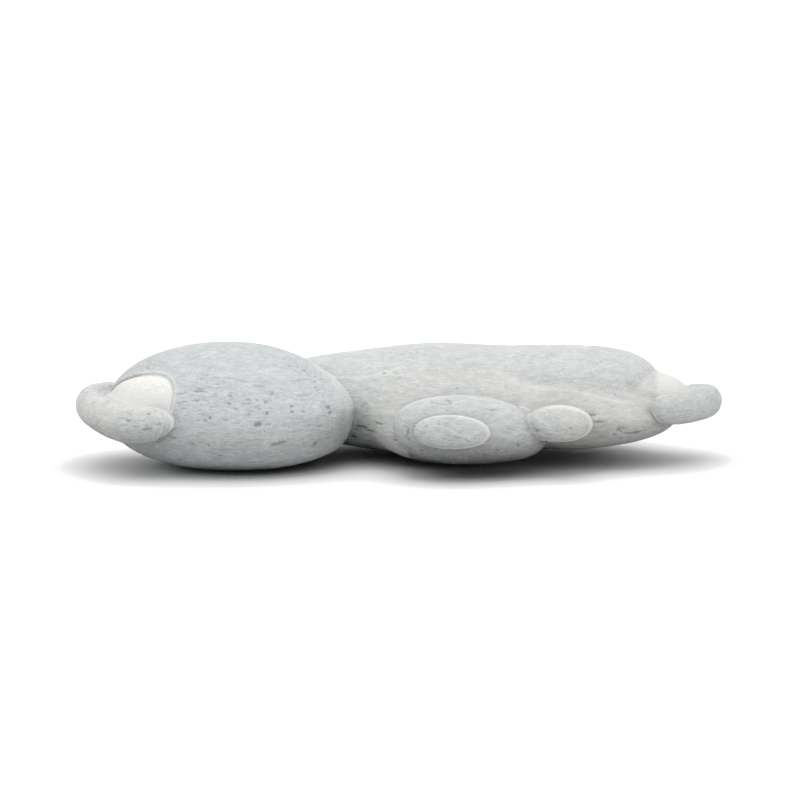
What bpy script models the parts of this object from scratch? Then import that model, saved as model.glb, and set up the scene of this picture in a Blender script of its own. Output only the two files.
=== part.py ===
"""Fairy stone: a flat pale grey clay concretion that grew as one piece, about 150 mm long.

Rounded lenses of cemented clay lie side by side on one bedding plane and have grown together: a
thick round head with a cream hollow at its left end, a body with a belly, a rump and a ledge under
it, a paw with a small button in front, and a raised lip curling round each end. The stone rests on
three small flat spots under the head, the belly and the back foot.

Metres. +X runs along the stone, to the right seen from the front, -Y is the front and +Z is up.
"""
from collections import namedtuple
from math import radians

import bmesh
import bpy
from mathutils import Matrix, Vector

# A lens is a rounded lump with its own reach to the left and right, front and back, down and up
# of its centre. A fullness of 2 is a plain ellipsoid, and above 2 its sides are blunter. The right
# end can have a fullness of its own above and below the rim. Turn swings the lens on the bedding
# plane, and roll then lowers its right end, both in degrees.
Lens = namedtuple("Lens", "centre left right front back down up fullness turn roll right_up right_down",
                  defaults=(2.2, 0.0, 0.0, None, None))

HEAD = Lens((-0.0392, -0.0120, 0.0132), 0.0280, 0.0288, 0.0290, 0.0280, 0.0136, 0.0150,
            fullness=2.15, right_up=1.65, right_down=2.7)

# The hollow in the head's left end: its mouth, and how far its cream floor lies inside the head
HOLLOW_MOUTH = Lens((-0.0618, -0.0270, 0.0150), 0.0155, 0.0155, 0.0122, 0.0122, 0.0060, 0.0074,
                    turn=-58.0, roll=-9.0)
HOLLOW_SINK = Vector((0.0006, 0.0006, -0.0013))

# The body and the lumps that grew on it
LUMPS = {
    "body": Lens((0.0080, 0.0080, 0.0135), 0.0410, 0.0360, 0.0240, 0.0300, 0.0129, 0.0122, 2.0),
    "belly": Lens((0.0130, -0.0060, 0.0120), 0.0225, 0.0240, 0.0240, 0.0220, 0.0122, 0.0096, 2.0),
    "rump": Lens((0.0400, 0.0080, 0.0140), 0.0340, 0.0215, 0.0240, 0.0240, 0.0110, 0.0114, 2.5),
    "ledge": Lens((0.0375, -0.0080, 0.0116), 0.0260, 0.0268, 0.0195, 0.0180, 0.0077, 0.0074, right_up=1.5,
                  right_down=2.2),
    "tail": Lens((0.0560, 0.0020, 0.0135), 0.0140, 0.0125, 0.0140, 0.0160, 0.0070, 0.0072, 2.0),
    "paw": Lens((0.0139, -0.0310, 0.0106), 0.0154, 0.0156, 0.0115, 0.0140, 0.0075, 0.0076),
    "heel": Lens((0.0225, -0.0275, 0.0089), 0.0120, 0.0108, 0.0110, 0.0120, 0.0056, 0.0060),
    "paw_button": Lens((0.0119, -0.0400, 0.0114), 0.0086, 0.0086, 0.0050, 0.0070, 0.0037, 0.0039, 2.1),
    "toe": Lens((0.0360, -0.0325, 0.0123), 0.0080, 0.0073, 0.0055, 0.0120, 0.0040, 0.0041, 2.1),
    "nape": Lens((-0.0150, 0.0170, 0.0130), 0.0210, 0.0190, 0.0180, 0.0170, 0.0090, 0.0080, turn=20.0),
    "back_foot": Lens((0.0140, 0.0210, 0.0100), 0.0230, 0.0220, 0.0170, 0.0180, 0.0103, 0.0080),
    "back_paw": Lens((0.0250, 0.0350, 0.0112), 0.0150, 0.0140, 0.0090, 0.0092, 0.0056, 0.0056, turn=-14.0),
    "back_button": Lens((0.0290, 0.0405, 0.0120), 0.0066, 0.0070, 0.0060, 0.0045, 0.0032, 0.0032, turn=-18.0),
    "back_toe": Lens((-0.0060, 0.0365, 0.0120), 0.0074, 0.0078, 0.0110, 0.0055, 0.0039, 0.0038, turn=16.0),
    "left_apron": Lens((-0.0500, -0.0150, 0.0138), 0.0205, 0.0200, 0.0255, 0.0220, 0.0050, 0.0046),
    "right_apron": Lens((0.0580, 0.0000, 0.0132), 0.0100, 0.0135, 0.0120, 0.0120, 0.0036, 0.0036),
}

# A lip is a rounded ridge on a curved spine. Its section is LIP_TALL times as tall as it is wide.
Lip = namedtuple("Lip", "radius spine")
LIP_TALL = 1.18
END_WIDTH = 0.45
LIPS = {
    "left_lip": Lip(0.0034, ((-0.0504, -0.0415, 0.0132), (-0.0618, -0.0352, 0.0128),
                             (-0.0704, -0.0165, 0.0144), (-0.0686, 0.0000, 0.0144),
                             (-0.0610, 0.0110, 0.0140))),
    "right_lip": Lip(0.00305, ((0.0595, -0.0120, 0.0125), (0.0665, -0.0090, 0.0132),
                               (0.0718, -0.0020, 0.0136), (0.0705, 0.0050, 0.0132),
                               (0.0660, 0.0100, 0.0124))),
}
SPINE_STEPS = 7

# How finely the lumps are grown together into one skin, and how many faces the skin keeps
SPHERE_DETAIL = 5
FUSE_CELL = 0.0007
SOFTEN_STEPS = 3
KEPT_SHARE = 0.07
FLOOR_BLOCK = Vector((0.30, 0.20, 0.02))

STONE_COLOUR = (0.50, 0.53, 0.53, 1.0)
STONE_ROUGHNESS = 0.85


def clear_scene():
    for thing in list(bpy.data.objects):
        bpy.data.objects.remove(thing, do_unlink=True)


def stone_material():
    material = bpy.data.materials.new("pale_grey_clay_stone")
    material.use_nodes = True
    shader = material.node_tree.nodes["Principled BSDF"]
    shader.inputs["Base Color"].default_value = STONE_COLOUR
    shader.inputs["Roughness"].default_value = STONE_ROUGHNESS
    shader.inputs["Metallic"].default_value = 0.0
    return material


def add_object(name, data):
    thing = bpy.data.objects.new(name, data)
    bpy.context.scene.collection.objects.link(thing)
    return thing


def fullness_towards(lens, x, z):
    """The lens's fullness in a direction: it changes smoothly from left to right."""
    at_right = lens.right_up if z > 0.0 else lens.right_down
    if at_right is None:
        return lens.fullness
    share = min(max((x + 0.2) / 1.1, 0.0), 1.0)
    return lens.fullness + (at_right - lens.fullness) * share * share * (3.0 - 2.0 * share)


def add_lens(name, lens, shift=Vector((0.0, 0.0, 0.0))):
    """An icosphere drawn out to the lens's six reaches, with its sides as full as it says."""
    shape = bmesh.new()
    bmesh.ops.create_icosphere(shape, subdivisions=SPHERE_DETAIL, radius=1.0)
    for vert in shape.verts:
        power = fullness_towards(lens, vert.co.x, vert.co.z)
        size = (vert.co.xy.length ** power + abs(vert.co.z) ** power) ** (1.0 / power)
        x, y, z = vert.co / size
        vert.co = (x * (lens.right if x > 0.0 else lens.left),
                   y * (lens.back if y > 0.0 else lens.front),
                   z * (lens.up if z > 0.0 else lens.down))
    turn = Matrix.Rotation(radians(lens.turn), 4, "Z")
    place = Matrix.Translation(Vector(lens.centre) + shift)
    bmesh.ops.transform(shape, matrix=place @ turn, verts=shape.verts)
    mesh = bpy.data.meshes.new(name)
    shape.to_mesh(mesh)
    shape.free()
    return add_object(name, mesh)


def smooth_route(points):
    """Points along one smooth curve through the given ones."""
    knots = [Vector(point) for point in points]
    knots = [2 * knots[0] - knots[1]] + knots + [2 * knots[-1] - knots[-2]]
    route = []
    for before, start, end, after in zip(knots, knots[1:], knots[2:], knots[3:]):
        for step in range(SPINE_STEPS):
            t = step / SPINE_STEPS
            bend = (2 * before - 5 * start + 4 * end - after) * t * t
            twist = (3 * start - before - 3 * end + after) * t ** 3
            route.append(0.5 * (2 * start + (end - before) * t + bend + twist))
    route.append(knots[-2])
    return route


def add_lip(name, lip):
    """A round bevelled curve along the lip's spine that narrows to END_WIDTH at both of its ends."""
    route = smooth_route(lip.spine)
    curve = bpy.data.curves.new(name, "CURVE")
    curve.dimensions = "3D"
    curve.bevel_depth = lip.radius
    curve.bevel_resolution = 6
    curve.use_fill_caps = True
    spline = curve.splines.new("POLY")
    spline.points.add(len(route) - 1)
    for index, place in enumerate(route):
        along = 2.0 * index / (len(route) - 1) - 1.0
        spline.points[index].co = (place.x, place.y, place.z / LIP_TALL, 1.0)
        spline.points[index].radius = 1.0 - (1.0 - END_WIDTH) * along ** 8
    thing = add_object(name, curve)
    thing.scale.z = LIP_TALL
    return thing


def cut(target, name, cutter):
    """Takes the cutter out of the target."""
    modifier = target.modifiers.new(name, "BOOLEAN")
    modifier.operation = "DIFFERENCE"
    modifier.solver = "EXACT"
    modifier.object = cutter


def hollow_head():
    """The head with a shallow hollow that follows the head's own curve a little deeper down."""
    head = add_lens("head", HEAD)
    mouth = add_lens("hollow_mouth", HOLLOW_MOUTH)
    cut(mouth, "keep the cream floor", add_lens("hollow_floor", HEAD, HOLLOW_SINK))
    cut(head, "open the hollow", mouth)
    return head


def fuse(name, lumps, guides):
    """One mesh of all the lumps as they are evaluated. The lumps and guides are used up."""
    bpy.context.view_layer.update()
    graph = bpy.context.evaluated_depsgraph_get()
    fused = bmesh.new()
    for lump in lumps:
        mesh = bpy.data.meshes.new_from_object(lump.evaluated_get(graph))
        mesh.transform(lump.matrix_world)
        fused.from_mesh(mesh)
    mesh = bpy.data.meshes.new(name)
    fused.to_mesh(mesh)
    fused.free()
    for used in list(lumps) + list(guides):
        bpy.data.objects.remove(used, do_unlink=True)
    return add_object(name, mesh)


def add_floor_block():
    """The block whose top is the ground: it planes the three flat spots that the stone rests on."""
    shape = bmesh.new()
    bmesh.ops.create_cube(shape, size=1.0)
    bmesh.ops.scale(shape, vec=FLOOR_BLOCK, verts=shape.verts)
    bmesh.ops.translate(shape, vec=(0.0, 0.0, -FLOOR_BLOCK.z / 2.0), verts=shape.verts)
    mesh = bpy.data.meshes.new("floor_block")
    shape.to_mesh(mesh)
    shape.free()
    block = add_object("floor_block", mesh)
    block.hide_render = True
    block.display_type = "WIRE"
    return block


def centre_on_floor(stone):
    """Puts the middle of the stone's box over the origin. The flat spots are already at height 0."""
    bpy.context.view_layer.update()
    corners = [Vector(corner) for corner in stone.evaluated_get(bpy.context.evaluated_depsgraph_get()).bound_box]
    for axis in (0, 1):
        low = min(corner[axis] for corner in corners)
        high = max(corner[axis] for corner in corners)
        stone.location[axis] = -(low + high) / 2.0


def build_stone():
    lumps = [hollow_head()]
    lumps += [add_lens(name, lens) for name, lens in LUMPS.items()]
    lumps += [add_lip(name, lip) for name, lip in LIPS.items()]
    guides = [bpy.data.objects["hollow_mouth"], bpy.data.objects["hollow_floor"]]
    stone = fuse("fairy_stone", lumps, guides)
    stone.data.materials.clear()
    stone.data.materials.append(stone_material())

    skin = stone.modifiers.new("grow the lumps together", "REMESH")
    skin.mode = "VOXEL"
    skin.voxel_size = FUSE_CELL
    skin.use_smooth_shade = True
    soften = stone.modifiers.new("soften the creases", "SMOOTH")
    soften.factor = 0.5
    soften.iterations = SOFTEN_STEPS
    thin = stone.modifiers.new("thin the faces", "DECIMATE")
    thin.ratio = KEPT_SHARE
    thin.use_collapse_triangulate = True
    cut(stone, "plane the flat spots", add_floor_block())
    centre_on_floor(stone)
    return stone


clear_scene()
build_stone()
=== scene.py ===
"""Looks of the fairy stone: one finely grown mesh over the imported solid, its clay, light and camera.

Metres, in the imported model's frame: +X along the stone, -Y towards the camera, +Z up.
"""
import random
from collections import namedtuple
from math import cos, pi, radians, sin

import bmesh
import bpy
import numpy as np
from mathutils import Matrix, Vector, noise
from mathutils.kdtree import KDTree


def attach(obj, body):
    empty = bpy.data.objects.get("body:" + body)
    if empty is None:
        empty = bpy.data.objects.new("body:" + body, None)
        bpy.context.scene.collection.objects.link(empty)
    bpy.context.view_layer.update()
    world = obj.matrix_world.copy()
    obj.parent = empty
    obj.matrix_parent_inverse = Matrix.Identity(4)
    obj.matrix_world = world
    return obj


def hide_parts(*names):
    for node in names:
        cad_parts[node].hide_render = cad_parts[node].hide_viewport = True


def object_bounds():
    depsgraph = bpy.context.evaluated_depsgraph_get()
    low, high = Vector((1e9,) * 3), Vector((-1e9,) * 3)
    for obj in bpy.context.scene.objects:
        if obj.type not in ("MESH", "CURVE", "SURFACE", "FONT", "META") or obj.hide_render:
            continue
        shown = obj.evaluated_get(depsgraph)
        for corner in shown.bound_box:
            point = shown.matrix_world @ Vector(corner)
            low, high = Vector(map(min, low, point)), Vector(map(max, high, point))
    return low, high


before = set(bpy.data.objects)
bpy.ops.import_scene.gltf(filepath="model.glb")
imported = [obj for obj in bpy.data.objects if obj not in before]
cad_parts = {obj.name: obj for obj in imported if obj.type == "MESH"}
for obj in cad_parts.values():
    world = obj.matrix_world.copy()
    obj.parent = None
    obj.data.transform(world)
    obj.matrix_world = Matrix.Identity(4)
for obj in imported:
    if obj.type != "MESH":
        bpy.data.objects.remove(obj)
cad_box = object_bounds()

MM = 0.001
# A distance that is far from everything, and how far round a lump its distance is worked out
FAR = 0.012
REACH_MARGIN = 0.004

# The stone's lumps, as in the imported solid. A lens reaches left and right, front and back, down and
# up of its centre. Blend is how wide the valley is where it has grown together with the others.
Lens = namedtuple("Lens", "centre left right front back down up fullness turn roll right_up right_down blend",
                  defaults=(2.2, 0.0, 0.0, None, None, 0.0006))
# A lip is a tube along a spine. With a taper it comes to a point at its front end, over that share of it.
Lip = namedtuple("Lip", "radius spine blend taper front_width", defaults=(0.0, 0.66))

HEAD = Lens((-0.0387, -0.0120, 0.0132), 0.0285, 0.0283, 0.0290, 0.0280, 0.0136, 0.0150,
            fullness=2.22, right_up=1.74, right_down=2.7, blend=0.0004)
HOLLOW_MOUTH = Lens((-0.0603, -0.0263, 0.0143), 0.0157, 0.0152, 0.0122, 0.0122, 0.0060, 0.0081,
                    fullness=2.44, turn=-54.4, roll=-14.1)
HOLLOW_SINK = np.array((0.00008, 0.00015, -0.00018))
HOLLOW_GAP = 0.00030
HOLLOW_GAP_WIDTH = 0.00042
HOLLOW_EDGE = 0.00024
HOLLOW_FLOOR_REACH = 0.0006

BODY_LUMPS = {
    "body": Lens((0.0062, 0.0080, 0.0135), 0.0422, 0.0256, 0.0240, 0.0300, 0.0129, 0.0118, 1.83),
    "rump": Lens((0.0400, 0.0080, 0.0140), 0.0440, 0.0220, 0.0240, 0.0240, 0.0110, 0.0112, 2.78,
                 blend=0.006),
    "belly": Lens((0.0130, -0.0060, 0.0120), 0.0225, 0.0240, 0.0240, 0.0220, 0.0122, 0.0096, 2.0,
                  blend=0.003),
    "back_foot": Lens((0.0140, 0.0210, 0.0100), 0.0230, 0.0220, 0.0170, 0.0180, 0.0103, 0.0080, blend=0.003),
    "nape": Lens((-0.0150, 0.0170, 0.0130), 0.0210, 0.0190, 0.0180, 0.0170, 0.0090, 0.0080, turn=20.0,
                 blend=0.003),
    "ledge": Lens((0.0375, -0.0080, 0.0116), 0.0260, 0.0268, 0.0195, 0.0180, 0.0077, 0.0074, right_up=1.5,
                  right_down=2.2, blend=0.0016),
}
END_LUMPS = {
    "tail": Lens((0.0559, 0.0020, 0.0135), 0.0133, 0.0127, 0.0140, 0.0160, 0.0070, 0.0070, 2.0),
    "right_apron": Lens((0.0580, 0.0000, 0.0132), 0.0100, 0.0135, 0.0120, 0.0120, 0.0036, 0.0036),
}
SMALL_LUMPS = {
    "paw": Lens((0.0139, -0.0310, 0.0117), 0.0154, 0.0156, 0.0115, 0.0140, 0.0086, 0.0065),
    "heel": Lens((0.0225, -0.0275, 0.0089), 0.0120, 0.0108, 0.0110, 0.0120, 0.0056, 0.0060, blend=0.002),
    "paw_button": Lens((0.0119, -0.0400, 0.0114), 0.0086, 0.0086, 0.0050, 0.0070, 0.0037, 0.0039, 2.1,
                       blend=0.0003),
    "toe": Lens((0.0360, -0.0325, 0.0123), 0.0080, 0.0073, 0.0055, 0.0120, 0.0040, 0.0041, 2.1, blend=0.0004),
    "back_paw": Lens((0.0250, 0.0350, 0.0112), 0.0150, 0.0140, 0.0090, 0.0092, 0.0056, 0.0056, turn=-14.0),
    "back_button": Lens((0.0290, 0.0405, 0.0120), 0.0066, 0.0070, 0.0060, 0.0045, 0.0032, 0.0032, turn=-18.0,
                        blend=0.0003),
    "back_toe": Lens((-0.0060, 0.0365, 0.0120), 0.0074, 0.0078, 0.0110, 0.0055, 0.0039, 0.0038, turn=16.0,
                     blend=0.0004),
}
LEFT_APRON = Lens((-0.0500, -0.0150, 0.0138), 0.0205, 0.0200, 0.0222, 0.0220, 0.0050, 0.0046, blend=0.0012)

LIP_TALL = 1.18
END_WIDTH = 0.66
POINT_WIDTH = 0.16
LIP_SEED_SHARE = 0.7
SPINE_STEPS = 7
LEFT_LIP = Lip(0.0034, ((-0.0511, -0.0380, 0.0133), (-0.0614, -0.0352, 0.0125), (-0.0704, -0.0165, 0.0142),
                        (-0.0686, 0.0000, 0.0139), (-0.0610, 0.0110, 0.0119)), 0.0006, 0.10)
RIGHT_LIP = Lip(0.00315, ((0.0601, -0.0193, 0.0139), (0.0652, -0.0142, 0.0136), (0.0716, -0.0030, 0.0137),
                          (0.0705, 0.0050, 0.0132), (0.0660, 0.0100, 0.0124)), 0.0005, front_width=0.86)

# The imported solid's box is centred on the origin, which moved it from where the lumps are given
STONE_SHIFT = np.array((-0.00042, -0.00012, 0.0))

# The clay of each lump: how blue-grey it is (0 is warm grey), how light, and how cream
Clay = namedtuple("Clay", "cool light cream")
CLAYS = {
    "head": Clay(1.00, 1.00, 0.0), "hollow": Clay(0.2, 1.10, 1.0), "left_apron": Clay(0.2, 1.08, 0.85),
    "left_lip": Clay(0.35, 1.02, 0.12), "body": Clay(0.55, 1.06, 0.0), "rump": Clay(0.60, 1.03, 0.0),
    "belly": Clay(0.15, 0.98, 0.0), "back_foot": Clay(0.3, 1.00, 0.0), "nape": Clay(0.6, 1.02, 0.0),
    "ledge": Clay(0.05, 0.95, 0.0), "tail": Clay(0.2, 0.98, 0.85), "right_apron": Clay(0.2, 1.05, 0.6),
    "right_lip": Clay(0.45, 0.99, 0.05), "paw": Clay(0.60, 1.02, 0.0), "heel": Clay(0.15, 1.00, 0.0),
    "paw_button": Clay(0.50, 1.00, 0.05), "toe": Clay(0.20, 1.02, 0.05), "back_paw": Clay(0.4, 1.0, 0.0),
    "back_button": Clay(0.4, 1.0, 0.0), "back_toe": Clay(0.3, 1.0, 0.0),
}
CLAY_SPREAD = 0.0004
MELTED_SPREAD = 0.0010

# Lumps that have melted into one another, with no sharp valley or rim between them
MELTED = (("body", "rump", "belly", "back_foot", "nape", "ledge", "tail", "right_apron"), ("paw", "heel"),
          ("left_apron", "hollow"))

# Which lumps lie on their neighbours. The one on top has the fine raised rim along the valley.
RIM_LUMPS = {"left_lip": 1.0, "paw_button": 1.0, "toe": 0.95, "head": 0.9, "paw": 0.85, "right_lip": 0.7,
             "back_button": 0.7, "back_toe": 0.7, "back_paw": 0.6, "ledge": 0.5, "rump": 0.3}
# How dark the painted shade in the valley round a lump is, where it isn't the usual
USUAL_CREASE_SHADE = 0.6
CREASE_SHADES = {"head": 0.8, "paw_button": 0.2, "toe": 0.4, "left_apron": 0.45, "left_lip": 0.25, "right_lip": 1.0}
# Lumps that don't end the bands and growth lines of the lump they lie on
LYING_ON = ("paw_button", "toe", "left_lip", "left_apron")
# The lighter band inside the edge of a big lump: how far from the valley, how wide and how strong
BANDS = {"head": (0.0022, 0.0030, 0.80), "paw": (0.0010, 0.0014, 0.85)}
RIM_GAP = 0.00050
RIM_WIDTH = 0.00032
RIM_HEIGHT = 0.00016
# Growth lines: how far they are from the valley, how wide, how strong, and from which x to which they
# come up
Growth = namedtuple("Growth", "middles width strength start end")
GROWTH_LINES = {"head": Growth((0.0018, 0.0036, 0.0058), 0.00065, 0.50, -0.028, -0.018),
                "paw": Growth((0.0013, 0.0025, 0.0039), 0.00045, 0.70, 0.012, 0.004),
                "left_lip": Growth((0.0013, 0.0024), 0.00026, 0.35, -0.066, -0.058)}
# How wide the painted soft shade beside a valley is, and the valley's dark line of painted shade, the rim
# round the hollow's mouth and the painted shade in the gap inside it
SHADE_WIDTH = 0.0014
CREASE_WIDTH = 0.00034
FINE_WIDTH = 0.0003
MOUTH_RIM_GAP = 0.00045
CRESCENT_GAP = 0.0010
# The stretch of x where the bands of light clay come up, the one where the toe stands free of the paw,
# and the y in front of which the left apron shows
BAND_START, BAND_END = -0.030, -0.022
TOE_START, TOE_END = 0.030, 0.034
APRON_BACK = 0.004

# Painted light and shade by height: the head lighter near the floor, the paw, heel and ledge darker near it,
# and the left lip lighter on top and darker low down. The tone goes from the first change at the first height
# to the second one at the second
Tone = namedtuple("Tone", "lumps start end start_change end_change")
PAINTED_HEIGHT_SHADING = (
    Tone(("head",), 0.0075, 0.0035, 0.0, 0.12), Tone(("paw", "heel"), 0.0110, 0.0035, 0.0, -0.66),
    Tone(("ledge",), 0.0075, 0.0035, 0.0, -0.22), Tone(("left_lip",), 0.0140, 0.0110, 0.06, -0.16),
)
# Belts of lighter and darker clay round the head: height, width and change
HEAD_BELTS = ((0.0165, 0.0035, 0.06), (0.0085, 0.0030, -0.06))

# Soft folds where big lumps meet without a sharp valley: a line read off the photograph's pixels, then how
# far to its right hand, as seen from the front, and how wide the valley and the raised edge are, the share of
# each end that fades, and how deep the valley is next to the deepest
Fold = namedtuple("Fold", "line valley_side valley_width edge_side edge_width fade deep")
FOLDS = (
    Fold(((328, 379.4), (346, 379), (361, 380.5), (379.6, 375.5), (395, 371), (407, 365), (420, 359.5)),
         0.0013, 0.0014, -0.0003, 0.0008, (0.05, 0.35), 0.5),
    Fold(((360, 387.5), (366.5, 383.5), (376.5, 379.5), (392, 378), (406.5, 380), (422, 385)),
         0.0001, 0.0007, -0.0014, 0.0006, (0.30, 0.30), 0.7),
    Fold(((484, 349), (487, 356), (491, 363), (499, 373), (512, 380.5), (528, 386), (545, 388), (563, 389.5),
          (592, 395), (616, 401), (630, 401.5), (643, 402.5)),
         -0.0018, 0.0018, 0.0002, 0.0012, (0.50, 0.12), 0.8),
)
FOLD_REACH = 0.008
FOLD_DEPTH = 0.00036
EDGE_HEIGHT = 0.00018

# The photograph's clearest pits and streaks, read off it: place, length and height in its pixels, tilt in
# degrees, and depth in mm. The last three, on the right lip, have no depth and don't show: they are kept
# for the order of the random draws
PHOTO_MARKS = (
    (209.6, 418.3, 3.5, 3.2, 0, 0.35), (257.3, 424.2, 8, 4, 25, 0.35), (224.3, 419.7, 6, 2.5, 0, 0.15),
    (173.8, 437.2, 6, 2.5, 10, 0.25), (208.2, 445.5, 3.5, 3, 0, 0.25), (147.1, 429.8, 12, 2.6, 5, 0.25),
    (127.5, 420.0, 6, 4, 0, 0.2), (158.0, 424.2, 8, 3.5, 0, 0.15), (136.0, 446.6, 7, 2.5, 0, 0.2),
    (180.0, 460.0, 6, 2.6, 0, 0.2), (191.3, 443.8, 5, 2.5, 0, 0.2), (218.7, 455.4, 3.5, 3, 0, 0.25),
    (253.0, 462.0, 8, 2.5, 0, 0.25), (277.6, 443.1, 18, 3.2, 8, 0.3), (182.2, 375.8, 12, 2, 0, 0.12),
    (204.6, 375.0, 10, 2, 0, 0.1), (229.9, 377.9, 14, 2.2, 0, 0.15), (242.5, 381.2, 16, 2.6, -8, 0.15),
    (227.0, 382.0, 10, 2, 0, 0.1), (180.8, 393.6, 15, 2.4, 0, 0.15), (200.4, 391.2, 18, 2.6, 5, 0.18),
    (215.0, 389.0, 9, 2, 8, 0.1), (189.2, 398.5, 5, 3, 0, 0.1), (258.0, 385.6, 14, 2.6, 0, 0.18),
    (272.0, 392.6, 9, 3.6, 20, 0.18), (235.5, 408.0, 8, 2.6, -35, 0.15), (248.0, 414.3, 8, 3, 20, 0.12),
    (266.0, 411.5, 14, 2, 0, 0.1), (281.8, 389.0, 7, 2, 0, 0.1), (302.0, 379.2, 34, 1.8, -4, 0.12),
    (305.3, 394.2, 26, 2, 0, 0.15), (329.0, 407.3, 8, 3.4, -10, 0.25), (331.2, 412.8, 7, 3.2, 20, 0.25),
    (315.8, 443.8, 5, 3.6, 25, 0.35), (329.0, 438.2, 9, 2.2, 0, 0.15), (292.6, 431.9, 12, 2, 5, 0.12),
    (361.3, 427.0, 18, 3.6, 8, 0.3), (378.0, 424.0, 18, 2.4, 0, 0.2), (369.8, 431.2, 22, 2.4, 0, 0.2),
    (353.0, 436.8, 6, 5, 0, 0.3), (361.8, 406.9, 6, 2, 0, 0.15), (389.4, 403.0, 5, 3, 0, 0.12),
    (395.4, 440.3, 6, 3, 0, 0.25), (366.6, 388.8, 9, 2.6, 20, 0.15), (392.0, 380.0, 26, 1.6, 4, 0.1),
    (418.2, 384.9, 9, 2.4, -12, 0.15), (403.5, 394.0, 7, 3, 0, 0.12), (458.2, 387.7, 5, 2.4, 0, 0.25),
    (467.5, 369.1, 6, 2.6, 0, 0.12), (477.8, 388.4, 5, 2.6, 0, 0.15), (440.0, 364.6, 9, 2, 20, 0.1),
    (448.4, 400.3, 24, 3.2, 14, 0.2), (442.8, 404.5, 14, 2.6, 0, 0.15), (494.7, 409.5, 10, 2.8, 5, 0.2),
    (484.9, 413.0, 9, 1.8, 0, 0.12), (407.0, 431.2, 6, 3.4, 30, 0.25), (408.4, 438.9, 5, 3, 0, 0.2),
    (421.7, 447.3, 9, 1.8, 0, 0.15), (409.8, 449.2, 7, 3, -25, 0.2), (456.8, 436.8, 16, 3, 3, 0.12),
    (425.9, 424.9, 4, 2, 0, 0.15), (497.5, 450.8, 7, 2.6, 8, 0.25), (518.3, 446.0, 5, 3, -20, 0.3),
    (513.5, 409.4, 7, 2.6, 5, 0.15), (550.2, 418.1, 5, 2.2, 0, 0.15), (540.6, 430.9, 4, 2, 0, 0.12),
    (593.5, 415.0, 9, 3, 0, 0.22), (600.0, 422.0, 10, 3, 10, 0.2), (588.5, 427.0, 6, 2.4, 0, 0.15),
    (618.8, 429.3, 5, 3.6, 0, 0.25), (614.8, 406.2, 6, 2, -20, 0.12), (634.0, 432.6, 26, 1.4, 3, 0.3),
    (601.2, 437.3, 11, 1.6, 0, 0.15), (506.3, 387.8, 6, 3.2, 0, 0.12), (518.3, 387.0, 6, 3, 0, 0.12),
    (547.0, 381.5, 6, 2, 0, 0.12), (574.1, 389.4, 7, 2, 0, 0.12), (594.8, 364.7, 7, 2.6, 0, 0.1),
    (671.4, 415.2, 26, 2.2, 0, 0), (654.6, 410.0, 5, 4, 0, 0), (689.0, 394.0, 4, 2.4, 0, 0),
)
# More streaks on the left lip and the paw's button, in mm: place, length, height, tilt in degrees, depth
PLACED_MARKS = (
    (-62.4, -38.5, 14.2, 1.6, 0.45, 5, 0.14), (-60.8, -39.0, 13.0, 2.2, 0.50, -5, 0.15),
    (-59.4, -39.5, 13.8, 1.4, 0.40, 10, 0.12), (-58.2, -40.0, 12.6, 2.0, 0.50, 0, 0.15),
    (-57.0, -40.2, 13.9, 1.8, 0.45, -8, 0.13), (-56.0, -40.5, 12.9, 1.3, 0.50, 12, 0.14),
    (-60.0, -39.0, 11.9, 1.8, 0.45, 0, 0.12), (-57.6, -40.0, 11.6, 1.4, 0.40, 5, 0.12),
    (-54.6, -40.8, 13.3, 1.5, 0.40, 0, 0.12), (9.6, -44.5, 10.4, 1.5, 0.40, 0, 0.13),
    (11.4, -44.8, 9.8, 1.8, 0.45, 0, 0.14), (13.2, -44.8, 10.5, 1.6, 0.40, 5, 0.12),
    (15.0, -44.5, 9.9, 1.7, 0.45, -5, 0.14), (16.5, -44.2, 10.6, 1.3, 0.40, 0, 0.12),
    (12.4, -44.9, 11.4, 1.2, 0.35, 0, 0.10),
)
SEED = 8045
SCATTERED_MARKS = 620

# Broad and fine unevenness of the clay: size, stretch along the bedding, height, and seed of each noise
SWELLS = ((0.0150, 1.6, 0.00012, 1), (0.0046, 2.0, 0.00005, 2), (0.0014, 2.2, 0.00003, 3))

# The photograph: seen from 7 degrees above the ground, at 0.2329 mm to a pixel of its 800
PHOTO_SIZE = 800
PHOTO_PIXEL = 0.150 / 644
PHOTO_AIM_PIXEL = np.array((399.5, 405.0))
CAMERA_AIM = np.array((0.0, 0.0, 0.0125))
CAMERA_RISE = radians(7.0)
CAMERA_DISTANCE = 0.8
SENSOR_WIDTH = 0.036

# A plain pale floor, three square lights with their places and watts, and a white world
FLOOR_SIZE = 1.2
FLOOR_GREY = 0.66
LIGHT_SIZE = 0.8
LIGHTS = {"overhead": ((0.0, 0.0, 1.0), 2.0), "front_fill": ((0.0, -0.7, 1.0), 1.8),
          "back_key": ((0.0, 0.6, 1.04), 1.8)}
WORLD_STRENGTH = 1.375
# The picture's contrast: what the light of the scene, from 0 to 1, is shown as
TONE_CURVE = ((0.0, 0.0), (0.05, 0.017), (0.1, 0.059), (0.2, 0.172), (0.35, 0.330), (0.5, 0.510),
              (0.65, 0.660), (0.8, 0.80), (0.86, 0.865), (0.93, 0.98), (1.0, 1.0))

# How a line of sight is followed to the stone: where it starts, its longest step, its pace and its steps
CAST_START = 0.72
CAST_STEP = 0.002
CAST_PACE = 0.6
CAST_ROUNDS = 200

# The fine mesh: cell of the regrown skin, and how many triangles are kept of it
SKIN_CELL = 0.00038
KEPT_TRIANGLES = 190000
SETTLE_ROUNDS = 8
SETTLE_STEP = 0.0006
LEAST_STEEP = 0.25
# The height over which the pits and swells fade out to the flat spots that the stone rests on
REST_FADE = 0.0012


def ramp(values, start, end):
    """0 up to start, 1 from end on, and even in between. The end may be below the start."""
    return np.clip((values - start) / (end - start), 0.0, 1.0)


def eased(share):
    return share * share * (3.0 - 2.0 * share)


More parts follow.
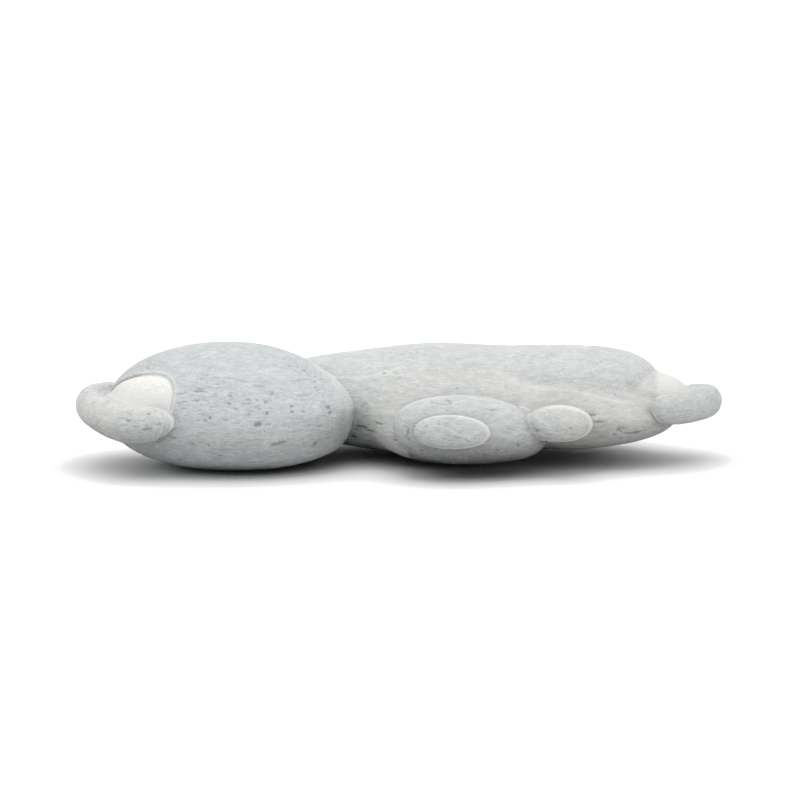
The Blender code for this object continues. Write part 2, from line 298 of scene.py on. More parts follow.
def bump_at(values, middle, width):
    return np.exp(-((values - middle) / width) ** 2)


def lens_turn(lens):
    return np.array(Matrix.Rotation(radians(lens.turn), 3, "Z") @ Matrix.Rotation(radians(lens.roll), 3, "Y"))


def lens_shape(local, lens):
    """The lens's size through each point, as a share of its own size, and the slope of that."""
    reach_x = np.where(local[:, 0] < 0.0, lens.left, lens.right)
    reach_y = np.where(local[:, 1] < 0.0, lens.front, lens.back)
    reach_z = np.where(local[:, 2] < 0.0, lens.down, lens.up)
    x, y, z = local[:, 0] / reach_x, local[:, 1] / reach_y, local[:, 2] / reach_z
    flat = np.sqrt(x * x + y * y) + 1e-9
    rise = np.abs(z) + 1e-9
    power = lens.fullness
    if lens.right_up is not None:
        rightward = eased(ramp(x / np.sqrt(flat * flat + rise * rise), -0.2, 0.9))
        power = power + (np.where(z > 0.0, lens.right_up, lens.right_down) - power) * rightward
    size = (flat ** power + rise ** power) ** (1.0 / power)
    flat_pull = (flat / size) ** (power - 1.0)
    rise_pull = (rise / size) ** (power - 1.0) / reach_z
    slope = flat_pull ** 2 * ((x / (flat * reach_x)) ** 2 + (y / (flat * reach_y)) ** 2) + rise_pull ** 2
    return size, np.sqrt(slope)


def lens_distance(points, lens):
    """How far each point is outside the lens, about, and below zero inside. Far ones all read the same."""
    local = (points - np.array(lens.centre)) @ lens_turn(lens)
    low = np.array((lens.left, lens.front, lens.down)) + REACH_MARGIN
    high = np.array((lens.right, lens.back, lens.up)) + REACH_MARGIN
    near = ((local > -low) & (local < high)).all(axis=1)
    size, slope = lens_shape(local[near], lens)
    distance = np.full(len(points), FAR)
    distance[near] = np.minimum((size - 1.0) / slope, FAR)
    return distance


def smooth_route(knots):
    """Points along one smooth curve through the given ones."""
    knots = np.array(knots)
    knots = np.vstack([2 * knots[0] - knots[1], knots, 2 * knots[-1] - knots[-2]])
    route = []
    for before, start, end, after in zip(knots, knots[1:], knots[2:], knots[3:]):
        for step in range(SPINE_STEPS):
            t = step / SPINE_STEPS
            bend = (2 * before - 5 * start + 4 * end - after) * t * t
            twist = (3 * start - before - 3 * end + after) * t ** 3
            route.append(0.5 * (2 * start + (end - before) * t + bend + twist))
    route.append(knots[-2])
    return np.array(route)


def lip_distance(points, lip):
    """How far each point is outside the lip, whose width narrows at both ends of its spine."""
    squeeze = np.array((1.0, 1.0, 1.0 / LIP_TALL))
    route = smooth_route(lip.spine) * squeeze
    along = np.linspace(-1.0, 1.0, len(route))
    radii = lip.radius * (1.0 - (1.0 - np.where(along < 0.0, lip.front_width, END_WIDTH)) * along ** 8)
    if lip.taper:
        pointed = lip.radius * np.sqrt(np.clip((along + 1.0) / (2.0 * lip.taper), POINT_WIDTH, 1.0))
        radii = np.where(along < 0.0, pointed, radii)
    squeezed = points * squeeze
    margin = lip.radius + REACH_MARGIN
    near = ((squeezed > route.min(axis=0) - margin) & (squeezed < route.max(axis=0) + margin)).all(axis=1)
    squeezed = squeezed[near]
    nearest = np.full(len(squeezed), FAR)
    for start, end, start_radius, end_radius in zip(route, route[1:], radii, radii[1:]):
        run = end - start
        share = np.clip((squeezed - start) @ run / (run @ run), 0.0, 1.0)
        gap = np.linalg.norm(squeezed - start - share[:, None] * run, axis=1)
        nearest = np.minimum(nearest, gap - start_radius - share * (end_radius - start_radius))
    distance = np.full(len(points), FAR)
    distance[near] = nearest
    return distance


def smooth_min(a, b, blend):
    share = np.clip(0.5 + 0.5 * (b - a) / blend, 0.0, 1.0)
    return b + (a - b) * share - blend * share * (1.0 - share)


def smooth_max(a, b, blend):
    return -smooth_min(-a, -b, blend)


def hollow_parts(points):
    """The head with its hollow, the hollow's mouth, and the pale floor with a narrow gap round it.

    The mouth is read where the line from the head's middle leaves the head, so its wall stands square.
    """
    head = lens_distance(points, HEAD)
    local = points - np.array(HEAD.centre)
    size = lens_shape(local, HEAD)[0]
    mouth = lens_distance(np.array(HEAD.centre) + local / np.maximum(size, 0.3)[:, None], HOLLOW_MOUTH)
    floor = lens_distance(points - HOLLOW_SINK, HEAD)
    floor = floor + HOLLOW_GAP * np.exp(-(mouth / HOLLOW_GAP_WIDTH) ** 2)
    scooped = smooth_max(head, smooth_min(-mouth, floor, HOLLOW_EDGE / 2), HOLLOW_EDGE)
    return scooped, mouth, floor


def grown_together(points, *families):
    """How far each point is outside the lumps of these families."""
    form = None
    for lumps in families:
        for lens in lumps.values():
            distance = lens_distance(points, lens)
            form = distance if form is None else smooth_min(form, distance, lens.blend)
    return form


def trunk_distance(points):
    return grown_together(points, BODY_LUMPS, END_LUMPS)


def stone_distance(points):
    stone = grown_together(points, BODY_LUMPS, END_LUMPS, SMALL_LUMPS)
    stone = smooth_min(stone, hollow_parts(points)[0], HEAD.blend)
    stone = smooth_min(stone, lens_distance(points, LEFT_APRON), LEFT_APRON.blend)
    stone = smooth_min(stone, lip_distance(points, LEFT_LIP), LEFT_LIP.blend)
    stone = smooth_min(stone, lip_distance(points, RIGHT_LIP), RIGHT_LIP.blend)
    return np.maximum(stone, -points[:, 2])


def lump_distances(points):
    """Each lump's own distance. The head and its hollow's floor are apart, and neither has the other's."""
    scooped, mouth, floor = hollow_parts(points)
    in_hollow = (mouth < 0.0) & (floor < HOLLOW_FLOOR_REACH)
    distances = {"head": np.where(in_hollow, FAR, scooped), "hollow": np.where(in_hollow, scooped, FAR)}
    for lumps in (BODY_LUMPS, END_LUMPS, SMALL_LUMPS):
        for name, lens in lumps.items():
            distances[name] = lens_distance(points, lens)
    distances["left_apron"] = lens_distance(points, LEFT_APRON)
    distances["left_lip"] = lip_distance(points, LEFT_LIP)
    distances["right_lip"] = lip_distance(points, RIGHT_LIP)
    return distances, mouth


class Surface:
    """Which lump each point on the surface belongs to, and how far off the neighbours are."""

    def __init__(self, points):
        self.points = points
        self.distances, self.mouth = lump_distances(points)
        self.names = list(self.distances)
        self.table = np.array([self.distances[name] for name in self.names])
        self.owner = self.table.argmin(axis=0)
        self.own = self.table[self.owner, np.arange(len(points))]
        group = np.arange(len(self.names))
        for melted in MELTED:
            group[[self.number(name) for name in melted]] = self.number(melted[0])
        self.group = group[self.owner]
        others = np.where(group[:, None] == self.group, FAR, self.table)
        head, hollow = self.number("head"), group[self.number("hollow")]
        others[(group == hollow)[:, None] & (self.owner == head)] = FAR
        others[head, self.group == hollow] = FAR
        self.gap = others.min(axis=0) - self.own
        self.neighbour = others.argmin(axis=0)
        big = np.where(np.isin(self.names, LYING_ON)[:, None], FAR, others)
        self.big_gap = big.min(axis=0) - self.own
        rank = np.array([RIM_LUMPS.get(name, 0.0) for name in self.names])
        self.on_top = np.where(rank[self.owner] > rank[self.neighbour], rank[self.owner], 0.0)

    def number(self, name):
        return self.names.index(name)

    def on(self, *names):
        """Whether each point is on one of these lumps."""
        return np.isin(self.owner, [self.number(name) for name in names])


def mixed_clay(surface):
    """The lumps' clay, mixed a little where they meet."""
    spread = np.array([MELTED_SPREAD if name in MELTED[0] else CLAY_SPREAD for name in surface.names])
    weights = np.exp(-(surface.table - surface.own) / spread[:, None])
    weights /= weights.sum(axis=0)
    return {field: np.array([CLAYS[name][at] for name in surface.names]) @ weights
            for at, field in enumerate(Clay._fields)}


def growth_lines(surface):
    """Fine lines beside the valleys of the head, the paw and the left lip."""
    x, y, _ = surface.points.T
    lines = np.zeros(len(x))
    for name, growth in GROWTH_LINES.items():
        gap = surface.gap if name == "left_lip" else surface.big_gap
        shown = surface.on(name) * growth.strength * ramp(x, growth.start, growth.end)
        lines += shown * sum(bump_at(gap, middle, growth.width) for middle in growth.middles)
    return np.where(surface.on("left_lip") & (y >= -0.02), 0.0, lines)


def toe_edge(surface):
    """The pale edge round the toe's front."""
    toe = SMALL_LUMPS["toe"]
    x, y, z = surface.points.T
    across = (x - toe.centre[0]) / np.where(x < toe.centre[0], toe.left, toe.right)
    upward = (z - toe.centre[2]) / toe.up
    edge = ramp(np.sqrt(across ** 2 + upward ** 2), 0.84, 0.94) * bump_at(y, toe.centre[1] - 0.0010, 0.0024)
    return surface.on("toe") * edge * ramp(x, TOE_START, TOE_END)


def rims(surface):
    """The fine raised rims along the valleys, round the hollow's mouth and along the left lip."""
    x, y, _ = surface.points.T
    near = np.where(surface.on("paw_button", "toe", "right_lip"), 0.7, 1.0)
    beside_valley = surface.on_top * bump_at(surface.gap, near * RIM_GAP, RIM_WIDTH)
    beside_valley *= np.where(surface.on("toe"), ramp(x, TOE_START, TOE_END), 1.0)
    round_mouth = surface.on("head") * bump_at(surface.mouth, MOUTH_RIM_GAP, FINE_WIDTH)
    crescent = surface.on("left_apron") * (y < APRON_BACK)
    crescent = crescent * bump_at(surface.distances["left_lip"], CRESCENT_GAP, FINE_WIDTH)
    raised = beside_valley + growth_lines(surface) + 0.8 * toe_edge(surface)
    return np.clip(raised + 0.6 * round_mouth + 0.8 * crescent, 0.0, 1.0)


def light_bands(surface):
    """The lighter bands inside the edges of the head and the paw, away from the head's left."""
    band = sum(strength * surface.on(name) * bump_at(surface.big_gap, middle, width)
               for name, (middle, width, strength) in BANDS.items())
    return np.clip(band * ramp(surface.points[:, 0], BAND_START, BAND_END), 0.0, 1.0)


def painted_crease_shade(surface):
    """Painted shade: the dark line of each valley, the gap round the hollow's floor, and a beige shade in
    that floor's corner.
    """
    x, y, z = surface.points.T
    dark = np.array([CREASE_SHADES.get(name, USUAL_CREASE_SHADE) for name in surface.names])
    dark = np.minimum(dark[surface.owner], dark[surface.neighbour])
    # Painted shade along each valley's line, fainter on the lump that lies on top
    valley = dark * bump_at(surface.gap, 0.0, CREASE_WIDTH) * np.where(surface.on_top > 0.0, 0.3, 1.0)
    in_hollow = surface.on("hollow")
    # Painted shadow in the gap round the hollow's floor, strongest high up
    gap = in_hollow * bump_at(surface.mouth, 0.0, FINE_WIDTH) * (0.25 + 0.75 * ramp(z, 0.0150, 0.0190))
    inside = in_hollow + 0.6 * surface.on("left_apron") * (y < APRON_BACK)
    # Beige painted shade in the hollow's corner beside the left lip
    corner = inside * ramp(x, -0.0560, -0.0600) * ramp(z, 0.0175, 0.0155)
    corner = corner * bump_at(surface.distances["left_lip"], 0.0022, 0.0022)
    return np.clip(valley + gap + 0.6 * corner, 0.0, 1.0)


def shading(surface):
    """How much lighter or darker the clay is than its lump's own: painted shade beside valleys, painted light
    and shade by height, painted light low before the paw, and other changes by place.
    """
    x, y, z = surface.points.T
    # Painted shade beside the valleys, on the lump that doesn't lie on top
    light = 1.0 - 0.22 * np.exp(-surface.gap / SHADE_WIDTH) * (surface.on_top == 0.0)
    # Painted light and shade by height
    for tone in PAINTED_HEIGHT_SHADING:
        change = tone.end_change - tone.start_change
        change = tone.start_change + change * ramp(z, tone.start, tone.end)
        light *= 1.0 + surface.on(*tone.lumps) * change
    belts = sum(change * bump_at(z, height, width) for height, width, change in HEAD_BELTS)
    light *= 1.0 + surface.on("head") * belts
    light *= 1.0 - 0.07 * surface.on("head") * ramp(x, -0.050, -0.056)
    # Painted light on the body's low front before the paw, stronger towards the floor
    before_paw = (x > -0.014) & (x < 0.002) & (y < 0.0) & (surface.group == surface.number("body"))
    return light * (1.0 + 0.44 * before_paw * ramp(z, 0.0155, 0.0105))


def clay_fields(points):
    """The clay's tones with painted light and shade in them, and its fine rims, growth lines and valleys with
    their painted shade, for points on the surface.
    """
    surface = Surface(points)
    x, _, z = points.T
    on_head = surface.on("head")
    fields = mixed_clay(surface)
    # Painted shade in the creases, and painted light and shade multiplied into the clay's lightness
    fields["rim"], fields["band"], fields["crease_shade"] = rims(surface), light_bands(surface), painted_crease_shade(surface)
    fields["light"] = fields["light"] * shading(surface)
    fields["cool"] = fields["cool"] - 0.55 * on_head * bump_at(z, 0.0088, 0.0022) * ramp(x, -0.052, -0.040)
    fields["cream"] = fields["cream"] * np.where(x > 0.045, ramp(x, 0.0580, 0.0600), 1.0)
    fields["streaky"] = 0.50 + 0.80 * on_head * bump_at(z, 0.0210, 0.0032) + 0.25 * surface.on("paw")
    fields["smooth"] = np.clip(fields["cream"] * 1.1, 0.0, 1.0)
    fields["fold"], fields["edge"] = fold_fields(points)
    return fields


def camera_axes():
    """The camera's right, up and backward directions."""
    return (np.array((1.0, 0.0, 0.0)), np.array((0.0, sin(CAMERA_RISE), cos(CAMERA_RISE))),
            np.array((0.0, -cos(CAMERA_RISE), sin(CAMERA_RISE))))


def cast(pixels, form):
    """Where the lines of sight through the photograph's pixels meet a form, and how far away that is."""
    right, up, back = camera_axes()
    eye = CAMERA_AIM + back * CAMERA_DISTANCE
    offsets = (np.array(pixels) - PHOTO_AIM_PIXEL) * PHOTO_PIXEL
    lines = np.outer(offsets[:, 0], right) - np.outer(offsets[:, 1], up) - back * CAMERA_DISTANCE
    lines /= np.linalg.norm(lines, axis=1)[:, None]
    reached = np.full(len(lines), CAST_START)
    for _ in range(CAST_ROUNDS):
        reached += np.clip(form(eye + lines * reached[:, None]), -CAST_STEP, CAST_STEP) * CAST_PACE
    return eye + lines * reached[:, None], reached


def fold_fields(points):
    """How deep the soft folds are at each point, and how much each point is on a fold's raised edge."""
    deep, raised = np.zeros(len(points)), np.zeros(len(points))
    for fold in FOLDS:
        route = smooth_route(cast(fold.line, trunk_distance)[0])
        near = (points > route.min(axis=0) - FOLD_REACH) & (points < route.max(axis=0) + FOLD_REACH)
        near = near.all(axis=1)
        local = points[near]
        best, side, along = np.full(len(local), 1.0), np.zeros(len(local)), np.zeros(len(local))
        for at, (start, end) in enumerate(zip(route, route[1:])):
            run = end - start
            share = np.clip((local - start) @ run / (run @ run), 0.0, 1.0)
            offset = local - start - share[:, None] * run
            length = np.linalg.norm(offset, axis=1)
            closer = length < best
            best = np.where(closer, length, best)
            right_hand = np.cross(run / np.linalg.norm(run), np.array((0.0, -1.0, 0.0)))
            side = np.where(closer, np.sign(offset @ right_hand), side)
            along = np.where(closer, (at + share) / (len(route) - 1), along)
        signed = best * side
        fade = eased(ramp(along, 0.0, fold.fade[0]) * ramp(along, 1.0, 1.0 - fold.fade[1]))
        valley = fold.deep * fade * bump_at(signed, fold.valley_side, fold.valley_width)
        deep[near] = np.maximum(deep[near], valley)
        raised[near] = np.maximum(raised[near], fade * bump_at(signed, fold.edge_side, fold.edge_width))
    return deep, raised


def regrown_skin(node):
    """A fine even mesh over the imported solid, and over the lips as they are here."""
    form = bmesh.new()
    form.from_mesh(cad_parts[node].data)
    for lip in (LEFT_LIP, RIGHT_LIP):
        for place in smooth_route(lip.spine):
            at = Matrix.Translation(Vector(place + STONE_SHIFT))
            bmesh.ops.create_icosphere(form, subdivisions=3, radius=lip.radius * LIP_SEED_SHARE, matrix=at)
    mesh = bpy.data.meshes.new("skin_source")
    form.to_mesh(mesh)
    form.free()
    source = bpy.data.objects.new("skin_source", mesh)
    bpy.context.scene.collection.objects.link(source)
    skin = source.modifiers.new("skin", "REMESH")
    skin.mode = "VOXEL"
    skin.voxel_size = SKIN_CELL
    bpy.context.view_layer.update()
    graph = bpy.context.evaluated_depsgraph_get()
    mesh = bpy.data.meshes.new_from_object(source.evaluated_get(graph))
    bpy.data.objects.remove(source, do_unlink=True)
    return mesh


def read_points(mesh):
    flat = np.empty(len(mesh.vertices) * 3, np.float32)
    mesh.vertices.foreach_get("co", flat)
    return flat.reshape(-1, 3).astype(float)


def write_points(mesh, points):
    mesh.vertices.foreach_set("co", points.astype(np.float32).ravel())
    mesh.update()


def slope_of(points, step=0.00004):
    """The stone's distance and its gradient, from four samples round each point."""
    corners = np.array(((1, -1, -1), (-1, -1, 1), (-1, 1, -1), (1, 1, 1)), float)
    gradient = np.zeros_like(points)
    middle = np.zeros(len(points))
    for corner in corners:
        value = stone_distance(points + corner * step)
        gradient += value[:, None] * corner
        middle += value / 4.0
    return middle, gradient / (4.0 * step)


def settle(points):
    """Moves the points towards the stone's surface."""
    distance, gradient = slope_of(points)
    steep = np.maximum((gradient ** 2).sum(axis=1), LEAST_STEEP)
    step = (distance / steep)[:, None] * gradient
    length = np.linalg.norm(step, axis=1)[:, None]
    return points - step * np.minimum(1.0, SETTLE_STEP / np.maximum(length, 1e-9))


def edge_ends(mesh):
    ends = np.empty(len(mesh.edges) * 2, np.int32)
    mesh.edges.foreach_get("vertices", ends)
    return ends.reshape(-1, 2)


def relaxed(points, ends, share=0.5):
    """Each point drawn towards the middle of its neighbours."""
    count = np.bincount(ends.ravel(), minlength=len(points))
    total = np.zeros_like(points)
    for axis in range(3):
        total[:, axis] += np.bincount(ends[:, 0], weights=points[ends[:, 1], axis], minlength=len(points))
        total[:, axis] += np.bincount(ends[:, 1], weights=points[ends[:, 0], axis], minlength=len(points))
    return points + (total / count[:, None] - points) * share


def outward_directions(mesh):
    flat = np.empty(len(mesh.vertices) * 3, np.float32)
    mesh.vertices.foreach_get("normal", flat)
    return flat.reshape(-1, 3).astype(float)


def noise_at(points, size, stretch, seed):
    """Smooth noise from about -1 to 1 with lumps of the given size, longer along the bedding by stretch."""
    offset = Vector((seed * 7.31, seed * 3.17, seed * 5.71))
    scale = np.array((1.0 / (size * stretch), 1.0 / (size * stretch), 1.0 / size))
    values = [noise.noise(Vector(place) + offset) for place in points * scale]
    return np.array(values) * 2.0


def front_marks():
    """The marks on the side towards the camera, in mm."""
    places, far = cast([mark[:2] for mark in PHOTO_MARKS], stone_distance)
    marks = []
    for place, away, (_, _, length, height, tilt, depth) in zip(places, far, PHOTO_MARKS):
        pixel = PHOTO_PIXEL * away / CAMERA_DISTANCE / MM
        marks.append((*(place / MM), length * pixel, height * pixel, tilt, depth))
    return marks + list(PLACED_MARKS)


def scattered_marks(points, front):
    """Seeded small pits and streaks: some round each mark of the front, the others over the whole stone.

    Most of the others are low on the stone or on the head.
    """
    dice = random.Random(SEED)
    marks = []
    for x, y, z, _, _, tilt, depth in front:
        for _ in range(3):
            place = (x + dice.gauss(0.0, 1.8), y, z + dice.gauss(0.0, 0.8))
            marks.append((*place, dice.uniform(0.6, 2.2), 0.5, tilt + dice.gauss(0.0, 8.0), depth * 0.45))
    for _ in range(SCATTERED_MARKS):
        place = points[dice.randrange(len(points))]
        wanted = 0.25 + 0.75 * (place[2] < 0.0125)
        if place[0] < -0.010:
            wanted = 0.85
        if place[1] < -0.012:
            wanted *= 0.6
        if dice.random() > wanted:
            continue
        length = dice.uniform(0.7, 1.3) if dice.random() < 0.6 else dice.uniform(1.4, 3.6)
        height = dice.uniform(0.45, 0.75)
        depth = dice.uniform(0.08, 0.30) if length < 1.4 else dice.uniform(0.08, 0.18)
        marks.append((*(place / MM), length, height, dice.gauss(0.0, 14.0), depth))
    return marks


def mark_depths(points, outward, tree, marks):
    """How deep the pits and streaks are at each point. A mark is in mm, with its tilt in degrees."""
    depths = np.zeros(len(points))
    for x, y, z, length, height, tilt, depth in marks:
        place, at, _ = tree.find(Vector((x * MM, y * MM, z * MM)))
        facing = Vector(outward[at])
        along = Vector((0.0, 0.0, 1.0)).cross(facing)
        if along.length < 0.2:
            along = Vector((1.0, 0.0, 0.0)).cross(facing)
        along.normalize()
        along.rotate(Matrix.Rotation(radians(tilt), 3, facing))
        across = facing.cross(along)
        half_length, half_height = length * MM / 2, height * MM / 2
        found = tree.find_range(place, half_length * 1.5 + SKIN_CELL)
        near = np.array([index for _, index, _ in found])
        offsets = points[near] - np.array(place)
        run = (offsets @ np.array(along)) / half_length
        rise = (offsets @ np.array(across)) / max(half_height, SKIN_CELL * 0.7)
        wave = 0.35 * np.sin(run * 2.3 + x * 5.0)
        deep = depth * MM * np.exp(-(run ** 4) * 1.2 - (rise + wave) ** 2)
        depths[near] = np.maximum(depths[near], deep)
    return depths


def set_field(mesh, name, values):
    field = mesh.attributes.new(name, "FLOAT", "POINT")
    field.data.foreach_set("value", values.astype(np.float32))


def point_tree(points):
    tree = KDTree(len(points))
    for at, place in enumerate(points):
        tree.insert(place, at)
    tree.balance()
    return tree


def build_stone():
    mesh = regrown_skin("fairy_stone")
    ends = edge_ends(mesh)
    points = read_points(mesh) - STONE_SHIFT
    for _ in range(SETTLE_ROUNDS):
        points = settle(relaxed(points, ends))
    write_points(mesh, points)
    outward = outward_directions(mesh)

    fields = clay_fields(points)
    tree = point_tree(points)
    front = front_marks()
    marks = front + scattered_marks(points, front)
    pits = mark_depths(points, outward, tree, marks) * (1.0 - 0.8 * fields["smooth"])
    height = fields["rim"] * RIM_HEIGHT + fields["edge"] * EDGE_HEIGHT - fields["fold"] * FOLD_DEPTH - pits
    for size, stretch, rise, seed in SWELLS:
        height += noise_at(points, size, stretch, seed) * rise * (1.0 - 0.6 * fields["smooth"])
    points = points + outward * (height * ramp(points[:, 2], 0.0, REST_FADE))[:, None]
    set_field(mesh, "pit", pits)
    write_points(mesh, fit_box(points + STONE_SHIFT))

    stone = bpy.data.objects.new("fairy_stone_skin", mesh)
    bpy.context.scene.collection.objects.link(stone)
    thinned(stone)
    mesh = stone.data
    mesh.name = "fairy_stone_skin"
    fields = clay_fields(read_points(mesh) - STONE_SHIFT)
    # Painted highlight along the folds' raised edges, added to the rims
    fields["rim"] = np.maximum(fields["rim"], 0.4 * fields["edge"])
    for name in ("cool", "light", "cream", "rim", "band", "crease_shade", "streaky"):
        set_field(mesh, name, fields[name])
    mesh.shade_smooth()
    return stone


def fit_box(points):
    """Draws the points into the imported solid's box."""
    low, high = np.array(cad_box[0]), np.array(cad_box[1])
    own_low, own_high = points.min(axis=0), points.max(axis=0)
    return low + (points - own_low) * (high - low) / (own_high - own_low)


def thinned(stone):
    """Leaves out the skin's faces where it is smooth, down to the count that is kept."""
    stone.data.calc_loop_triangles()
    share = KEPT_TRIANGLES / len(stone.data.loop_triangles)
    if share >= 1.0:
        return
    thin = stone.modifiers.new("thin", "DECIMATE")
    thin.ratio = share
    bpy.context.view_layer.update()
    graph = bpy.context.evaluated_depsgraph_get()
    mesh = bpy.data.meshes.new_from_object(stone.evaluated_get(graph))
    stone.modifiers.remove(thin)
    stone.data = mesh


class Nodes:
    """Short ways to add and join the nodes of one material."""

    def __init__(self, tree):
        self.tree = tree
        self.place = tree.nodes.new("ShaderNodeTexCoord").outputs["Object"]

    def join(self, value, socket):
        if isinstance(value, bpy.types.NodeSocket):
            self.tree.links.new(value, socket)
        else:
            socket.default_value = value

    def field(self, name):
        node = self.tree.nodes.new("ShaderNodeAttribute")
        node.attribute_name = name
        return node.outputs["Fac"]

    def noise(self, size, stretch=1.0, detail=2.0, seed=0.0, roughness=0.5):
        """Noise from 0 to 1 with lumps of the given size in metres, longer along the bedding by stretch."""
        mapping = self.tree.nodes.new("ShaderNodeMapping")
        mapping.inputs["Scale"].default_value = (1 / (size * stretch), 1 / (size * stretch), 1 / size)
        mapping.inputs["Location"].default_value = (seed, seed * 1.7, seed * 0.6)
        self.join(self.place, mapping.inputs["Vector"])
        node = self.tree.nodes.new("ShaderNodeTexNoise")
        node.inputs["Scale"].default_value = 1.0
        node.inputs["Detail"].default_value = detail
        node.inputs["Roughness"].default_value = roughness
        self.join(mapping.outputs["Vector"], node.inputs["Vector"])
        return node.outputs["Fac"]

    def step(self, value, low, high, low_to=0.0, high_to=1.0):
        node = self.tree.nodes.new("ShaderNodeMapRange")
        node.interpolation_type = "SMOOTHSTEP"
        self.join(value, node.inputs["Value"])
        node.inputs["From Min"].default_value = low
        node.inputs["From Max"].default_value = high
        node.inputs["To Min"].default_value = low_to
        node.inputs["To Max"].default_value = high_to
        return node.outputs["Result"]

    def math(self, operation, a, b=0.5):
        node = self.tree.nodes.new("ShaderNodeMath")
        node.operation = operation
        self.join(a, node.inputs[0])
        self.join(b, node.inputs[1])
        return node.outputs[0]

    def product(self, *values):
        result = values[0]
        for value in values[1:]:
            result = self.math("MULTIPLY", result, value)
        return result

    def mix(self, share, a, b, way="MIX"):
        node = self.tree.nodes.new("ShaderNodeMix")
        node.data_type = "RGBA"
        node.blend_type = way
        colours = [socket for socket in node.inputs if socket.type == "RGBA"]
        self.join(share, node.inputs["Factor"])
        self.join(a, colours[0])
        self.join(b, colours[1])
        return [socket for socket in node.outputs if socket.type == "RGBA"][0]


def grey(value):
    return (value, value, value, 1.0)


COOL_CLAY = (0.384, 0.400, 0.402, 1.0)
WARM_CLAY = (0.398, 0.402, 0.391, 1.0)
CREAM_CLAY = (0.520, 0.516, 0.504, 1.0)
RIM_CLAY = (0.560, 0.562, 0.545, 1.0)
BAND_CLAY = (0.480, 0.480, 0.462, 1.0)
POWDER = (0.450, 0.462, 0.460, 1.0)
STREAK_CLAY = (0.250, 0.270, 0.285, 1.0)
# Painted shade for the pits and streaks
PAINTED_PIT_SHADE = (0.175, 0.182, 0.182, 1.0)
FLECK_CLAY = (0.680, 0.680, 0.680, 1.0)
# Painted shade for the valleys, the hollow's gap and its corner
PAINTED_CREASE_SHADE = (0.250, 0.242, 0.225, 1.0)


def base_colour(nodes, rough):
    """The clay's cool and warm greys, a powder on them, and the cream patches."""
    drift = nodes.math("SUBTRACT", nodes.noise(0.011, 1.5, 3.0, 1.3), 0.5)
    cool = nodes.step(nodes.math("ADD", nodes.field("cool"), drift), 0.0, 1.0)
    colour = nodes.mix(cool, WARM_CLAY, COOL_CLAY)
    powder = nodes.step(nodes.noise(0.0060, 1.8, 5.0, 4.1, 0.65), 0.45, 0.75, 0.0, 0.40)
    colour = nodes.mix(nodes.product(powder, rough), colour, POWDER)
    return nodes.mix(nodes.step(nodes.field("cream"), 0.05, 0.95), colour, CREAM_CLAY)


def grained(nodes, colour, bedding):
    """The colour with its grain, which is faint on cream, and with the mesh's light and dark on it, painted
    light and shade among them.
    """
    mottle = nodes.step(nodes.noise(0.0012, 3.0, 5.0, 7.7, 0.65), 0.25, 0.75, 0.90, 1.08)
    specks = nodes.step(nodes.noise(0.00028, 1.4, 2.0, 8.4, 0.6), 0.25, 0.75, 0.90, 1.09)
    grain = nodes.product(mottle, bedding, specks)
    grain = nodes.mix(nodes.step(nodes.field("cream"), 0.0, 1.0, 1.0, 0.25), grey(1.0), grain)
    colour = nodes.mix(1.0, colour, grain, "MULTIPLY")
    # The mesh's light and dark, with its painted light and shade
    return nodes.mix(1.0, colour, nodes.field("light"), "MULTIPLY")


def marked(nodes, colour, streaks, flecks):
    """The colour with streaks, flecks and the mesh's bands and rims on it, and painted shade in its creases
    and pits.
    """
    colour = nodes.mix(nodes.product(streaks, 0.95), colour, STREAK_CLAY)
    colour = nodes.mix(nodes.product(flecks, 0.60), colour, FLECK_CLAY)
    colour = nodes.mix(nodes.product(nodes.field("band"), 0.8), colour, BAND_CLAY)
    colour = nodes.mix(nodes.product(nodes.field("rim"), 0.8), colour, RIM_CLAY)
    # Painted shade in the valleys
    colour = nodes.mix(nodes.product(nodes.field("crease_shade"), 0.55), colour, PAINTED_CREASE_SHADE)
    # Painted shade in the pits and streaks, darker as they deepen
    return nodes.mix(nodes.step(nodes.field("pit"), 0.00002, 0.00019, 0.0, 0.62), colour, PAINTED_PIT_SHADE)


def fine_relief(nodes, bedding, streaks, flecks):
    """The clay's tooth, too fine for the mesh."""
    tooth = nodes.noise(0.00040, 1.6, 3.0, 3.3, 0.6)
    height = nodes.math("ADD", nodes.product(tooth, 0.6), nodes.product(bedding, 4.0))
    height = nodes.math("SUBTRACT", height, nodes.product(streaks, 0.9))
    height = nodes.math("ADD", height, nodes.product(flecks, 0.5))
    bump = nodes.tree.nodes.new("ShaderNodeBump")
    bump.inputs["Strength"].default_value = 0.6
    bump.inputs["Distance"].default_value = 0.00016
    nodes.join(height, bump.inputs["Height"])
    return bump.outputs["Normal"]


def clay_material():
    material = bpy.data.materials.new("clay_stone")
    material.use_nodes = True
    nodes = Nodes(material.node_tree)
    rough = nodes.step(nodes.field("cream"), 0.1, 0.9, 1.0, 0.0)
    bedding = nodes.step(nodes.noise(0.00036, 5.0, 3.0, 6.2, 0.6), 0.25, 0.75, 0.90, 1.09)
    clusters = nodes.step(nodes.noise(0.0070, 1.8, 3.0, 2.9), 0.44, 0.62)
    dashes = nodes.step(nodes.noise(0.00040, 4.0, 2.0, 5.3), 0.55, 0.67)
    streaks = nodes.product(dashes, clusters, rough, nodes.field("streaky"))
    patches = nodes.step(nodes.noise(0.0060, 1.8, 3.0, 11.3), 0.48, 0.62, 0.10, 1.0)
    flecks = nodes.product(nodes.step(nodes.noise(0.00045, 1.8, 1.0, 9.1), 0.675, 0.78), rough, patches)

    colour = grained(nodes, base_colour(nodes, rough), bedding)
    shader = material.node_tree.nodes["Principled BSDF"]
    nodes.join(marked(nodes, colour, streaks, flecks), shader.inputs["Base Color"])
    nodes.join(fine_relief(nodes, bedding, streaks, flecks), shader.inputs["Normal"])
    shader.inputs["Roughness"].default_value = 0.88
    shader.inputs["Specular IOR Level"].default_value = 0.25
    return material


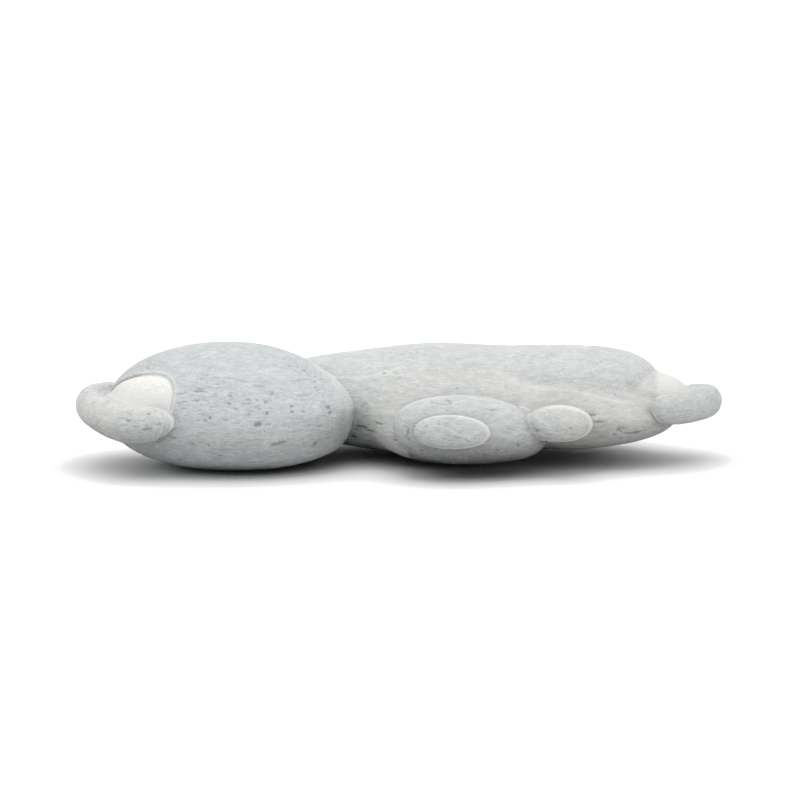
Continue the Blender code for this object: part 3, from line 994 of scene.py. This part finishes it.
def make_camera():
    data = bpy.data.cameras.new("camera")
    data.sensor_width = SENSOR_WIDTH * 1000.0
    data.lens = data.sensor_width * CAMERA_DISTANCE / (PHOTO_SIZE * PHOTO_PIXEL)
    data.clip_start = 0.05
    camera = bpy.data.objects.new("camera", data)
    bpy.context.scene.collection.objects.link(camera)
    camera.rotation_euler = (pi / 2 - CAMERA_RISE, 0.0, 0.0)
    right, up, back = camera_axes()
    aside, below = (PHOTO_SIZE / 2 - PHOTO_AIM_PIXEL) * PHOTO_PIXEL
    camera.location = CAMERA_AIM + STONE_SHIFT + back * CAMERA_DISTANCE + right * aside - up * below
    bpy.context.scene.camera = camera
    return camera


def make_floor():
    bpy.ops.mesh.primitive_plane_add(size=FLOOR_SIZE)
    floor = bpy.context.object
    floor.name = "floor"
    material = bpy.data.materials.new("floor_white")
    material.use_nodes = True
    shader = material.node_tree.nodes["Principled BSDF"]
    shader.inputs["Base Color"].default_value = grey(FLOOR_GREY)
    shader.inputs["Roughness"].default_value = 0.9
    shader.inputs["Specular IOR Level"].default_value = 0.1
    floor.data.materials.append(material)
    return floor


def area_light(name, place, power):
    """A square light aimed at the middle of the floor."""
    data = bpy.data.lights.new(name, "AREA")
    data.size = LIGHT_SIZE
    data.energy = power
    light = bpy.data.objects.new(name, data)
    bpy.context.scene.collection.objects.link(light)
    light.location = place
    light.rotation_euler = (-Vector(place)).to_track_quat("-Z", "Y").to_euler()


def make_lights():
    for name, (place, power) in LIGHTS.items():
        area_light(name, place, power)
    world = bpy.data.worlds.new("studio")
    world.use_nodes = True
    world.node_tree.nodes["Background"].inputs["Color"].default_value = (1.0, 1.0, 1.0, 1.0)
    world.node_tree.nodes["Background"].inputs["Strength"].default_value = WORLD_STRENGTH
    bpy.context.scene.world = world
    view = bpy.context.scene.view_settings
    view.view_transform = "Standard"
    view.use_curve_mapping = True
    curve = view.curve_mapping.curves[3]
    for low, high in TONE_CURVE[1:-1]:
        curve.points.new(low, high)
    view.curve_mapping.update()


stone = build_stone()
stone.data.materials.clear()
stone.data.materials.append(clay_material())
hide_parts("fairy_stone")
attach(stone, "root")
make_camera()
make_floor()
make_lights()
